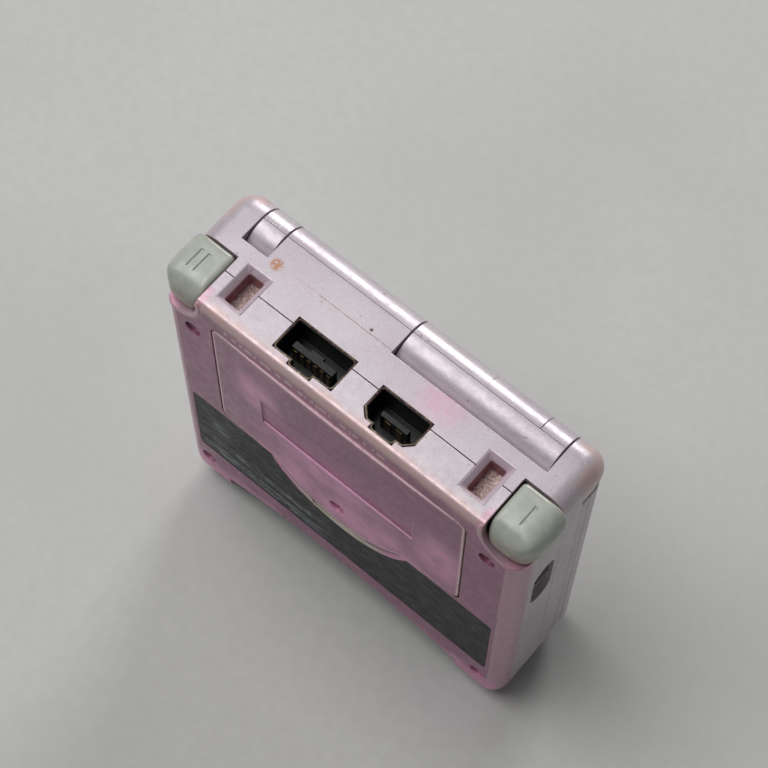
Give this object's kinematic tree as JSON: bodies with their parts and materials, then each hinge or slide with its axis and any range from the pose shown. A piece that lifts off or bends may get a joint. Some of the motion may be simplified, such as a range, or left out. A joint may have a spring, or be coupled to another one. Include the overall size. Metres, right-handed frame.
{
  "type": "clamshell handheld game console",
  "caption": "Folding handheld game console, closed, with a hinged screen lid, control deck, shoulder buttons, side sliders, cartridge slot, sockets and a removable battery cover.",
  "frame": {"origin": "centre of the bounding box's footprint, on the surface that the closed console stands on", "axes": "+Z from the front edge up to the hinge barrel, +Y from the battery face out through the lid, +X towards the shoulder button that is on the left in use"},
  "size_m": [0.082, 0.0248, 0.0846],
  "materials": {
    "shell_paint": "pearl pink paint on plastic, worn",
    "inner_paint": "pink paint on plastic",
    "sage_plastic": "glossy sage plastic",
    "black_plastic": "matte",
    "label": "worn black film",
    "board": "solder mask",
    "gold": "plated",
    "steel": "satin",
    "grey_rubber": "matte",
    "white_plastic": "translucent",
    "lens": "clear lens, dark behind",
    "panel": "display glass",
    "cell": "wrapped cell",
    "ribbon": "film"
  },
  "bodies": {
    "base": {"base_lower_shell": "shell_paint", "base_upper_shell": "shell_paint", "hinge_cover": "shell_paint", "base_screws": "steel", "main_board": "board", "board_chips": "black_plastic", "cartridge_connector": "black_plastic", "link_port": "black_plastic", "link_contacts": "gold", "power_port": "black_plastic", "power_contacts": "gold", "battery": "cell", "battery_contacts": "gold", "rating_label": "label", "speaker": "steel", "speaker_gasket": "grey_rubber", "dpad_mat": "grey_rubber", "ab_mat": "grey_rubber", "start_select_mat": "grey_rubber", "light_mat": "grey_rubber", "led_lightpipes": "white_plastic", "board_leds": "white_plastic", "shoulder_pins": "steel", "shoulder_springs": "steel", "shoulder_switches": "steel", "volume_potentiometer": "steel", "power_switch": "steel", "hinge_shaft_left": "steel", "hinge_pin_right": "steel"},
    "lid": {"lid_outer_shell": "shell_paint", "lid_inner_shell": "inner_paint", "screen_lens": "lens", "light_guide": "lens", "lcd_gasket": "grey_rubber", "lcd_panel": "panel", "lid_pads": "grey_rubber", "lid_screws": "steel", "display_ribbon": "ribbon", "hinge_click_unit": "steel", "hinge_end_cap": "shell_paint"},
    "battery_cover": {"battery_cover": "shell_paint", "battery_cover_screw": "steel"},
    "dpad_post": {"dpad_pivot_post": "grey_rubber"},
    "dpad": {"dpad": "sage_plastic"},
    "button_a": {"button_a": "sage_plastic"},
    "button_b": {"button_b": "sage_plastic"},
    "start_button": {"start_button": "sage_plastic"},
    "select_button": {"select_button": "sage_plastic"},
    "light_button": {"light_button": "sage_plastic"},
    "shoulder_left": {"shoulder_button_left": "sage_plastic"},
    "shoulder_right": {"shoulder_button_right": "sage_plastic"},
    "volume_slider": {"volume_slider": "black_plastic"},
    "power_slider": {"power_slider": "black_plastic"}
  },
  "joints": [
    {"name": "lid_hinge", "type": "hinge", "parent": "base", "child": "lid", "pos_m": [0, 0.0072, 0.0794], "axis": [1, 0, 0], "range_deg": [0, 165]},
    {"name": "battery_cover_lift", "type": "slide", "parent": "base", "child": "battery_cover", "axis": [0, -1, 0], "range_m": [0, 0.03]},
    {"name": "dpad_tilt_up_down", "type": "hinge", "parent": "base", "child": "dpad_post", "pos_m": [0.026, 0.00007, 0.047], "axis": [1, 0, 0], "range_deg": [-3, 3], "stiffness_Nm_per_rad": 0.17},
    {"name": "dpad_tilt_left_right", "type": "hinge", "parent": "dpad_post", "child": "dpad", "pos_m": [0.026, 0.00007, 0.047], "axis": [0, 0, 1], "range_deg": [-3, 3], "stiffness_Nm_per_rad": 0.17},
    {"name": "button_a_press", "type": "slide", "parent": "base", "child": "button_a", "axis": [0, -1, 0], "range_m": [0, 0.001], "stiffness_N_per_m": 1500},
    {"name": "button_b_press", "type": "slide", "parent": "base", "child": "button_b", "axis": [0, -1, 0], "range_m": [0, 0.001], "stiffness_N_per_m": 1500},
    {"name": "start_press", "type": "slide", "parent": "base", "child": "start_button", "axis": [0, -1, 0], "range_m": [0, 0.0005], "stiffness_N_per_m": 2400},
    {"name": "select_press", "type": "slide", "parent": "base", "child": "select_button", "axis": [0, -1, 0], "range_m": [0, 0.0005], "stiffness_N_per_m": 2400},
    {"name": "light_press", "type": "slide", "parent": "base", "child": "light_button", "axis": [0, -1, 0], "range_m": [0, 0.0005], "stiffness_N_per_m": 2400},
    {"name": "shoulder_left_press", "type": "hinge", "parent": "base", "child": "shoulder_left", "pos_m": [0.0298, -0.0059, 0.0775], "axis": [0, 1, 0], "range_deg": [0, 3.5], "stiffness_Nm_per_rad": 0.22},
    {"name": "shoulder_right_press", "type": "hinge", "parent": "base", "child": "shoulder_right", "pos_m": [-0.0298, -0.0059, 0.0775], "axis": [0, -1, 0], "range_deg": [0, 3.5], "stiffness_Nm_per_rad": 0.22},
    {"name": "volume_slide", "type": "slide", "parent": "base", "child": "volume_slider", "axis": [0, 0, -1], "range_m": [0, 0.008]},
    {"name": "power_slide", "type": "slide", "parent": "base", "child": "power_slider", "axis": [0, 0, 1], "range_m": [0, 0.003]}
  ]
}
